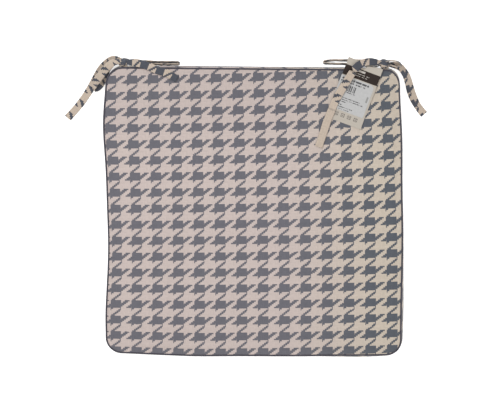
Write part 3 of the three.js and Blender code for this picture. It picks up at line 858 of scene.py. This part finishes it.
# %% Cloth places
CLOTH_TURN = math.radians(0.6)
CLOTH_CORNER = (89.8 * MM, 14.5 * MM)
PULL_SPAN = 134 * MM


def pulled(x, y):
    """How far the weave was dragged off its straight grain while the panel was sewn in."""
    u, v = x / PULL_SPAN, y / PULL_SPAN
    right = -0.7 - 0.8 * u - 1.9 * v + 1.1 * u**2 - 0.5 * u * v - 1.1 * v**2
    rearwards = -0.5 + 2.1 * u - 3.6 * v + 0.7 * u**2 + 1.1 * u * v + 0.3 * v**2
    return right * MM, rearwards * MM


def cut_place(points):
    """Where a point of a panel lies on the cloth it was cut from: across, and along to the front."""
    right, rearwards = pulled(points[..., 0], points[..., 1])
    x, y = points[..., 0] - right - CLOTH_CORNER[0], points[..., 1] - rearwards - CLOTH_CORNER[1]
    across = x * math.cos(CLOTH_TURN) + y * math.sin(CLOTH_TURN)
    along = x * math.sin(CLOTH_TURN) - y * math.cos(CLOTH_TURN)
    return np.stack([across, along, 0 * x], -1)


def normals(grid):
    return unit(np.cross(np.gradient(grid, axis=0), np.gradient(grid, axis=1)))


COVER_THICKNESS = 0.7 * MM


def cover_piece(name, shape, places, body, *nodes):
    outer = stray(shape)
    inner = outer - normals(outer) * COVER_THICKNESS
    piece = slab(name, outer, inner, places, pad_cloth)
    piece.modifiers.new("soft_surface", "SUBSURF").levels = 1
    piece.modifiers["soft_surface"].render_levels = 1
    settle_in(piece, body, "houndstooth_cloth", *nodes)
    return piece


top_panel = cover_piece("pad_top_cloth", top_shape, cut_place(top_flat), "pad", "top_panel")
under = bottom_shape[::-1]
bottom_panel = cover_piece("pad_bottom_cloth", under, cut_place(bottom_flat[::-1]), "pad", "bottom_panel")
boxing_places = np.stack([boxing_run, HEIGHT - boxing_flat[..., 2], 0 * boxing_run], -1)[:, ::-1]
boxing = cover_piece("pad_boxing_cloth", boxing_pressed[:, ::-1], boxing_places,
                     "pad", "boxing_front_and_sides")
print("cover faces", sum(len(panel.data.polygons) for panel in (top_panel, bottom_panel, boxing)))

# %% [markdown]
# ## Piping
# Piping is a bias strip folded round a cotton cord and caught in the seam. Its section is
# therefore a ring with a tail, the two layers of its seam allowance, and both are swept
# along the seam. Hand-fed piping is never quite even, so its thickness and level wander.

# %% Piping cover and cord
PIPING_STATIONS = 420
PIPING_CLOTH = 0.4 * MM
PIPING_INSET = PIPING_RADIUS + 0.05 * MM
FLANGE_LENGTH = 2 * MM
FLANGE_HALF = 0.35 * MM
PIPING_LEVELS = {"top": HEIGHT - 1.3 * MM, "bottom": 1.3 * MM}


def piping_rings(section, level, seed):
    """Rings of a section given as outward and upward distances from the cord's middle."""
    run = np.linspace(0, GIRTH, PIPING_STATIONS, endpoint=False)
    rings = []
    for place in run:
        swell = 1 + wobble(math.cos(place * 9), place, seed, 0.02, 0.05)
        up = level + wobble(place, seed, 0, 0.03, 0.25 * MM)
        rings.append([rim(place, PIPING_INSET - out * swell, up + lift * swell) for out, lift in section])
    return stray(np.array(rings)), run


def piping(name, level, seed, cover_node, cord_node):
    start = math.pi - math.asin(FLANGE_HALF / PIPING_RADIUS)
    arc = np.linspace(start, -start, 15)
    tip = -PIPING_RADIUS - FLANGE_LENGTH
    cover = [(PIPING_RADIUS * math.cos(turn), PIPING_RADIUS * math.sin(turn)) for turn in arc]
    cover += [(tip, -FLANGE_HALF), (tip, FLANGE_HALF)]
    bore = PIPING_RADIUS - PIPING_CLOTH
    inside = [(bore * math.cos(turn), bore * math.sin(turn))
              for turn in np.linspace(0, 2 * math.pi, 10, endpoint=False)]
    rings, run = piping_rings(cover, level, seed)
    bore_rings, _ = piping_rings(inside, level, seed)
    around = np.linspace(0, 2 * math.pi * PIPING_RADIUS, len(cover))
    places = np.stack([*np.broadcast_arrays(around[None, :], run[:, None]), np.zeros(rings.shape[:2])], -1)
    faces = quads(len(run), len(cover), True, True)
    faces += quads(len(run), len(inside), True, True, first=len(run) * len(cover))
    points = np.concatenate([rings.reshape(-1, 3), bore_rings.reshape(-1, 3)])
    bore_places = np.zeros((bore_rings.size // 3, 3))
    piece = add_piece(name, points, faces, np.concatenate([places.reshape(-1, 3), bore_places]), piping_cloth)
    settle_in(piece, "pad", "piping_cloth", cover_node)
    filler = bore - 0.15 * MM
    strand = [(filler * math.cos(turn), filler * math.sin(turn))
              for turn in np.linspace(0, -2 * math.pi, 10, endpoint=False)]
    cord_rings, _ = piping_rings(strand, level, seed)
    around = np.linspace(0, 2 * math.pi * filler, 10)
    cord_places = np.stack([*np.broadcast_arrays(around[None, :], run[:, None]),
                            np.zeros(cord_rings.shape[:2])], -1)
    cord = sweep(name.replace("cloth", "cord"), cord_rings, cord_places, cord_cotton, closed=True)
    settle_in(cord, "pad", "piping_cord", cord_node)
    return piece


piping("top_piping_cloth", PIPING_LEVELS["top"], 3.0, "top_piping_cover", "top_piping_cord")
piping("bottom_piping_cloth", PIPING_LEVELS["bottom"], 5.0, "bottom_piping_cover", "bottom_piping_cord")
print("piping is", round(GIRTH, 2), "m long, twice")

# %% [markdown]
# ## The rear boxing and its zip
# At the rear the boxing is two narrow strips, folded in along the zip. Behind the folds
# are the ribbed tapes, and on each tape a coil: one long plastic thread wound flat, which
# hooks into its twin. The coils are swept as real helices, half a turn apart.

# %% Rear strips
REAR_STATIONS = 90
STRIP_CLOTH = 0.9 * MM
RETURN_DEPTH = HALF_DEPTH - 190.0 * MM


def rear_strip(name, fold, seam, seed, node):
    """A strip from the seam to the fold along the zip, where its hem turns inwards."""
    towards = 1 if fold > seam else -1
    line = [(1.6 * MM, seam), (1.0 * MM, seam - towards * -1.2 * MM), (0.55 * MM, (seam + fold) / 2),
            (0.9 * MM, fold - towards * 1.3 * MM), (1.5 * MM, fold - towards * 0.25 * MM),
            (2.6 * MM, fold), (RETURN_DEPTH, fold)]
    x = np.linspace(-ZIP_END, ZIP_END, REAR_STATIONS)
    rows = []
    for place in x:
        wave = wobble(place, seed, 0, 0.03, 0.35 * MM)
        rows.append([(place, HALF_DEPTH - inset + wave * (number < 5),
                      height + wobble(place, seed, 1, 0.05, 0.3 * MM) * (number > 2))
                     for number, (inset, height) in enumerate(line)])
    outer = np.array(rows)
    if towards > 0:
        outer = outer[::-1]
    facing = normals(outer)
    run = np.concatenate([[0], np.cumsum([math.dist(line[k], line[k + 1]) for k in range(len(line) - 1)])])
    places = np.stack([outer[..., 0], np.broadcast_to(towards * run[None, :] * -1, outer.shape[:2]),
                       0 * outer[..., 0]], -1)
    outer = stray(outer)
    piece = slab(name, outer, outer - facing * STRIP_CLOTH, places, pad_cloth)
    return settle_in(piece, "pad", "houndstooth_cloth", node)


rear_strip("rear_boxing_upper_cloth", 16.9 * MM, HEIGHT - BOXING_EDGE, 11.0, "boxing_rear_upper")
rear_strip("rear_boxing_lower_cloth", 9.1 * MM, BOXING_EDGE, 13.0, "boxing_rear_lower")

# %% Zip tapes and coils
COIL_PITCH = 1.7 * MM
COIL_WIRE = 0.28 * MM


def zip_side(name, upwards):
    tape_low, tape_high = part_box(f"zip_tape_{name}")
    coil_low, coil_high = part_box(f"zip_coil_{name}")
    x = np.linspace(tape_low.x, tape_high.x, 120)
    z = np.linspace(tape_low.z, tape_high.z, 5)
    outer = np.array([[(px, tape_high.y + wobble(px, pz, 0, 0.02, 0.12 * MM), pz) for pz in z[::-1]]
                      for px in x])
    inner = outer - np.array([0, tape_high.y - tape_low.y, 0])
    tape = slab(f"zip_tape_{name}_ribbed", outer, inner, outer[..., [0, 2, 1]], zip_tape)
    settle_in(tape, "pad", "zip_tape", f"zip_tape_{name}")
    turns = round((coil_high.x - coil_low.x) / COIL_PITCH)
    steps = turns * 12
    turn = np.linspace(0, 2 * math.pi * turns, steps) + (0 if upwards else math.pi)
    middle_y, middle_z = (coil_low.y + coil_high.y) / 2, (coil_low.z + coil_high.z) / 2
    reach_y, reach_z = (coil_high.y - coil_low.y) / 2 - COIL_WIRE, (coil_high.z - coil_low.z) / 2 + 0.25 * MM
    line = np.stack([
        np.linspace(coil_low.x + COIL_WIRE, coil_high.x - COIL_WIRE, steps),
        middle_y + reach_y * np.sin(turn),
        middle_z - upwards * 0.15 * MM + reach_z * np.cos(turn),
    ], 1)
    tangent = unit(np.gradient(line, axis=0))
    side = unit(np.cross(tangent, (1, 0, 0)))
    lift = np.cross(side, tangent)
    angles = np.linspace(0, 2 * math.pi, 6, endpoint=False)
    rings = (line[:, None] + COIL_WIRE * (np.cos(angles)[None, :, None] * side[:, None]
             + np.sin(angles)[None, :, None] * lift[:, None]))
    coil = sweep(f"zip_coil_{name}_wound", rings, rings, coil_plastic)
    settle_in(coil, "pad", "zip_coil", f"zip_coil_{name}")
    return turns


print("coil turns", zip_side("upper", 1), zip_side("lower", -1))


# %% Zip metal and hidden stuffing keep their solids
def dress(node, material, bevel=0.0):
    """A plain solid of the right shape keeps its form and gets a finish and softened edges."""
    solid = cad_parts[node]
    solid.data.materials.clear()
    solid.data.materials.append(material)
    if bevel:
        solid.modifiers.new("weld", "WELD").merge_threshold = 0.005 * MM
        edge = solid.modifiers.new("edges", "BEVEL")
        edge.width = bevel
        edge.segments = 2
        edge.limit_method = "ANGLE"
        edge.angle_limit = math.radians(40)


for node, finish, bevel in (
    ("zip_slider", zip_metal, 0.15 * MM),
    ("zip_pull", zip_metal, 0.12 * MM),
    ("zip_stop_closed_end", zip_metal, 0.2 * MM),
    ("zip_stop_open_end", zip_metal, 0.2 * MM),
    ("foam_core", foam, 0.0),
):
    dress(node, finish, bevel)
print("solids dressed")


# %% Wadding, cut to the cover
def quilt(name, node):
    """A sheet of wadding over the foam: thick in the middle and thin at its rounded edge."""
    low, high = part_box(node)
    inset = HALF_WIDTH - high.x
    thickness = high.z - low.z
    over, _ = panel_grid(inset, low.z + 0.65 * thickness, high.z)
    under, _ = panel_grid(inset, low.z + 0.35 * thickness, low.z)
    piece = slab(name, stray(over), stray(under), over, wadding)
    return settle_in(piece, "pad", "wadding", node)


quilt("top_wadding_quilt", "top_wadding")
quilt("bottom_wadding_quilt", "bottom_wadding")
print("two sheets of wadding")

# %% [markdown]
# ## Knots and roots
# A bow's knot is a band of the strap wound tightly round the other straps. As one closed
# form it is a barrel: pinched at its ends, where gathered cloth runs out of it, with the
# band's edges as steps and the creases as shallow ridges that run round it on the slant.

# %% Knots
KNOT_AROUND = 48
KNOT_ALONG = 25
BAND_HALF = 0.52
BAND_STEP = 1.15 * MM


def knot(side, turn, seed):
    low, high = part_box(f"{side}_tie_knot")
    centre, reach = (low + high) / 2, (high - low) / 2
    turned = Matrix.Rotation(turn, 3, "Z")
    rings, places = [], []
    for share in np.linspace(-1, 1, KNOT_ALONG):
        ring, place = [], []
        body = 0.16 + 0.84 * (1 - abs(share) ** 2.6) ** 0.7
        on_band = 1 / (1 + math.exp((abs(share) - BAND_HALF) * 34))
        for step in range(KNOT_AROUND):
            around = 2 * math.pi * step / KNOT_AROUND
            ridge = 0.35 * MM * math.sin(3 * around + 4 * share + seed) * (1 - 0.6 * on_band)
            gathers = 0.4 * MM * math.sin(9 * around + 2 * share) * (1 - on_band)
            uneven = wobble(math.cos(around), math.sin(around), share + seed, 0.9, 0.7 * MM)
            out = on_band * BAND_STEP - BAND_STEP * 0.6 + ridge + gathers + uneven
            wide, tall = reach.y * 0.92 * body + out, reach.z * 0.92 * body + out
            spot = Vector((share * reach.x, wide * math.cos(around), tall * math.sin(around)))
            ring.append(centre + turned @ spot)
            place.append((share * reach.x + seed * MM, around * reach.y, seed))
        rings.append(ring)
        places.append(place)
    piece = sweep(f"{side}_tie_knot_cloth", np.array(rings), np.array(places), tie_cloth, sharp=80)
    return settle_in(piece, "pad", "tie_cloth", f"{side}_tie_knot")


knot("left", math.radians(28), 2.0)
knot("right", math.radians(-14), 9.0)

# %% Roots, where two straps leave the boxing
def root(side, seed):
    low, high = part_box(f"{side}_tie_root")
    y = np.linspace(low.y - 0.6 * MM, high.y + 1.5 * MM, 8)
    rings, places = [], []
    for place_y in y:
        share = (place_y - y[0]) / (y[-1] - y[0])
        half_x = (high.x - low.x) / 2 * (1 - 0.35 * share)
        half_z = (high.z - low.z) / 2 * (0.75 + 0.35 * share)
        middle = np.array([(low.x + high.x) / 2, place_y, (low.z + high.z) / 2])
        rings.append([middle + (over * half_x, 0, up * half_z + wobble(over, place_y, seed, 0.4, 0.2 * MM))
                      for over, up in STRAP_SECTION[::-1]])
        places.append([(0.4 * REPEAT_ACROSS + over * TIE_WIDTH / 2, place_y, seed)
                       for over, _ in STRAP_SECTION])
    piece = sweep(f"{side}_tie_root_cloth", np.array(rings), np.array(places), tie_cloth, sharp=80)
    return settle_in(piece, "pad", "tie_cloth", f"{side}_tie_root")


root("left", 1.0)
root("right", 2.0)
print("knots and roots are tied")

# %% [markdown]
# ## The hang tag
# The tag is a thin card with a punched hole, printed with a dark header, and a paper
# sticker with a bar block and rows of dashes in place of words. Both are sheets of points:
# the card's grid leaves out the cells at the hole and joins them to its round edge. The
# prints are masks worked out from each point's place on the card.

# %% Tag finishes
TAG_WIDTH = 49 * MM
TAG_HEIGHT = 86 * MM
TAG_TURN = math.radians(-20)
HOLE_FROM_TOP = 5.5 * MM
STICKER_HEIGHT = 46 * MM
STICKER_LOW = HOLE_FROM_TOP - 25 * MM - STICKER_HEIGHT
STICKER_LEFT = -TAG_WIDTH / 2 - 0.6 * MM
CREAM_END = HOLE_FROM_TOP - 10 * MM
HEADER_END = HOLE_FROM_TOP - 24 * MM


def dashes(recipe, x, y, level, height, left, right, letter, share):
    """One printed line: a row of short dashes, some of them left out like gaps between words."""
    cell = (x * (1 / letter)).floor()
    inked = recipe.speck(recipe.join(cell, level * 997, 0.0)) < share
    return inked * y.between(level - height / 2, level + height / 2) * x.between(left, right)


def card_finish():
    recipe = Recipe("tag_card_print", Specular_IOR_Level=0.12)
    x, y, _ = recipe.split(recipe.place())
    fibre = recipe.noise(recipe.place(), 900.0, 3.0)
    header = y.between(HEADER_END, CREAM_END)
    print_light = dashes(recipe, x, y, -7.4 * MM, 2.6 * MM, -6 * MM, 4 * MM, 1.6 * MM, 0.85)
    for level, right in ((-11.4 * MM, 11 * MM), (-14.2 * MM, 9 * MM)):
        print_light = print_light.largest(
            dashes(recipe, x, y, level, 0.8 * MM, -12 * MM, right, 0.8 * MM, 0.7))
    symbols = None
    for centre in (-13.5 * MM, -4.5 * MM, 4.5 * MM, 13.5 * MM):
        over, up = abs(x - centre), abs(y - (STICKER_LOW - 5.5 * MM))
        frame_line = over.largest(up).between(1.9 * MM, 2.5 * MM)
        cross = abs(over - up).between(-1, 0.35 * MM) * (over < 1.9 * MM) * (up < 1.9 * MM)
        mark = frame_line.largest(cross)
        symbols = mark if symbols is None else symbols.largest(mark)
    cream = recipe.blend(fibre, tone(166, 159, 149), tone(186, 179, 169))
    colour = recipe.blend(header, cream, tone(40, 30, 26))
    colour = recipe.blend(header * print_light * 0.75, colour, tone(205, 200, 192))
    colour = recipe.blend(symbols * 0.8, colour, tone(70, 66, 66))
    recipe.feed("Base Color", colour)
    recipe.feed("Roughness", 0.62 - header * 0.2)
    recipe.bump(fibre, 0.05 * MM, 0.4)
    return recipe.material


def sticker_finish():
    recipe = Recipe("tag_sticker_print", Specular_IOR_Level=0.2)
    x, y, _ = recipe.split(recipe.place())
    top = STICKER_LOW + STICKER_HEIGHT
    left = STICKER_LEFT
    ink = dashes(recipe, x, y, top - 3.4 * MM, 2.4 * MM, left + 2 * MM, left + 40 * MM, 0.9 * MM, 0.78)
    ink = ink.largest(
        dashes(recipe, x, y, top - 7.2 * MM, 1.8 * MM, left + 2 * MM, left + 36 * MM, 0.8 * MM, 0.7))
    bars = recipe.speck(recipe.join((x * (1 / (0.8 * MM))).floor(), 3.0, 0.0)) < 0.6
    ink = ink.largest(
        bars * y.between(top - 19 * MM, top - 10.5 * MM) * x.between(left + 2.5 * MM, left + 25 * MM))
    for drop, right in ((20.6, 26), (28.5, 36), (31.3, 41), (34.1, 18), (38.5, 14), (41.3, 30), (44.1, 26)):
        line = dashes(recipe, x, y, top - drop * MM, 1.1 * MM,
                      left + 2 * MM, left + right * MM, 0.7 * MM, 0.72)
        ink = ink.largest(line)
    block = y.between(top - 25 * MM, top - 17 * MM) * x.between(left + 42.5 * MM, left + 45 * MM)
    gloss = recipe.noise(recipe.place(), 300.0, 2.0)
    paper = recipe.blend(gloss, tone(168, 168, 168), tone(184, 184, 184))
    colour = recipe.blend(ink * 0.9, paper, tone(46, 46, 50))
    recipe.feed("Base Color", recipe.blend(block, colour, tone(140, 140, 138)))
    recipe.feed("Roughness", 0.42 + gloss * 0.12)
    return recipe.material


card_print = card_finish()
sticker_print = sticker_finish()


# %% Tag shapes
HOLE_RADIUS = 2 * MM
PATCH = 4.5 * MM
TAG_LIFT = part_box("hang_tag_card")[0].z
CARD_THICKNESS = 0.5 * MM
CARD_CURL = 0.5 * MM


def on_tag(x, y, lift):
    """From a place on the card, measured from its hole, to a place in the frame."""
    curl = (CARD_CURL * (2 * x / TAG_WIDTH) ** 2
            + 0.4 * MM * bell(np.array(y), -84, 12) * (x > 0) * 2 * x / TAG_WIDTH)
    spot = Matrix.Rotation(TAG_TURN, 3, "Z") @ Vector((x, y, 0))
    return (spot.x + TAG_HOLE.x, spot.y + TAG_HOLE.y, TAG_LIFT + lift + float(curl))


def card():
    fine = [-PATCH, -PATCH / 2, 0.0, PATCH / 2, PATCH]
    xs = [*np.linspace(-TAG_WIDTH / 2, -PATCH, 7)[:-1], *fine, *np.linspace(PATCH, TAG_WIDTH / 2, 7)[1:]]
    ys = [*np.linspace(HOLE_FROM_TOP - TAG_HEIGHT, -PATCH, 26)[:-1], *fine, HOLE_FROM_TOP]
    spots, faces = {}, []

    def corner(x, y):
        return spots.setdefault((round(x, 7), round(y, 7)), len(spots))

    for x0, x1 in zip(xs, xs[1:]):
        for y0, y1 in zip(ys, ys[1:]):
            if abs(x0 + x1) < 2 * PATCH and abs(y0 + y1) < 2 * PATCH:
                continue
            faces.append((corner(x0, y0), corner(x1, y0), corner(x1, y1), corner(x0, y1)))
    rim_spots = [(x, -PATCH) for x in fine[:-1]] + [(PATCH, y) for y in fine[:-1]]
    rim_spots += [(-x, -y) for x, y in rim_spots]
    hole = [Vector(spot).normalized() * HOLE_RADIUS for spot in rim_spots]
    for number, spot in enumerate(rim_spots):
        after = (number + 1) % len(rim_spots)
        faces.append((corner(*spot), corner(*rim_spots[after]), corner(*hole[after]), corner(*hole[number])))
    flat = list(spots)
    count = len(flat)
    points = [on_tag(x, y, CARD_THICKNESS) for x, y in flat] + [on_tag(x, y, 0) for x, y in flat]
    lids = faces + [tuple(corner_ + count for corner_ in face[::-1]) for face in faces]
    used = {(a, b) for face in faces for a, b in zip(face, face[1:] + face[:1])}
    walls = [(b, a, a + count, b + count) for a, b in used if (b, a) not in used]
    places = [(x, y, 0) for x, y in flat] * 2
    piece = add_piece("hang_tag_card_printed", points, lids + sorted(walls), places, card_print, sharp=35)
    settle_in(piece, "hang_tag", "tag_card", "hang_tag_card")
    return piece


def sticker():
    xs = np.linspace(STICKER_LEFT, STICKER_LEFT + 47 * MM, 12)
    ys = np.linspace(STICKER_LOW, STICKER_LOW + STICKER_HEIGHT, 14)
    lift = CARD_THICKNESS + 0.05 * MM
    nick = 3.5 * MM
    right, top = xs[-1], ys[-1]

    def grid(height):
        rows = []
        for x in xs:
            row = []
            for y in ys:
                over = (x - right + nick) + (y - top + nick)
                cut = max(0.0, over - nick) / 2
                row.append(on_tag(x - cut, y - cut, height))
            rows.append(row)
        return np.array(rows)

    places = np.array([[(x, y, 0) for y in ys] for x in xs])
    piece = slab("hang_tag_sticker_printed", grid(lift + 0.15 * MM), grid(lift), places,
                 sticker_print, sharp=35)
    return settle_in(piece, "hang_tag", "tag_sticker", "hang_tag_sticker")


card()
sticker()

# %% [markdown]
# ## Floor and light
# The pad lies on a plain white floor. One large soft light hangs over it, and a smaller one
# stands behind its left corner, so the straps and the tag throw thin shadows to the front.
# The floor glows a little, as a lit sweep of paper does, and the plain view transform keeps
# white cloth white.

# %% Floor, lights and surrounding
def add_floor():
    size = 4.0
    corners = [(-size, -size), (size, -size), (size, size), (-size, size)]
    finish = Recipe("studio_floor", roughness=0.9, Emission_Color=(1, 1, 1, 1), Emission_Strength=0.6)
    patch = finish.noise(finish.position(), 3.0, 2.0)
    finish.feed("Base Color", finish.blend(patch, (0.93, 0.93, 0.93, 1), (0.96, 0.96, 0.96, 1)))
    floor = add_piece("floor", [(x, y, -0.6 * MM) for x, y in corners], [(0, 1, 2, 3)], [(0, 0, 0)] * 4,
                      finish.material)


def soft_light(name, place, size, power, colour):
    data = bpy.data.lights.new(name, "AREA")
    data.shape = "DISK"
    data.size = size
    data.energy = power
    data.color = colour
    lamp = bpy.data.objects.new(name, data)
    lamp.location = place
    lamp.rotation_euler = (-Vector(place)).to_track_quat("-Z", "Y").to_euler()
    bpy.context.collection.objects.link(lamp)


add_floor()
soft_light("large_soft_light", (0.3, -0.1, 2.0), 1.6, 16.6, (1.0, 0.985, 0.965))
soft_light("rear_window_light", (-0.75, 1.0, 1.5), 0.4, 16, (0.97, 0.985, 1.0))
world = bpy.data.worlds.new("pale_surrounding")
world.use_nodes = True
world.node_tree.nodes["Background"].inputs["Color"].default_value = (1.0, 0.99, 0.98, 1)
world.node_tree.nodes["Background"].inputs["Strength"].default_value = 0.5
bpy.context.scene.world = world
bpy.context.scene.view_settings.view_transform = "Standard"
print("lit")
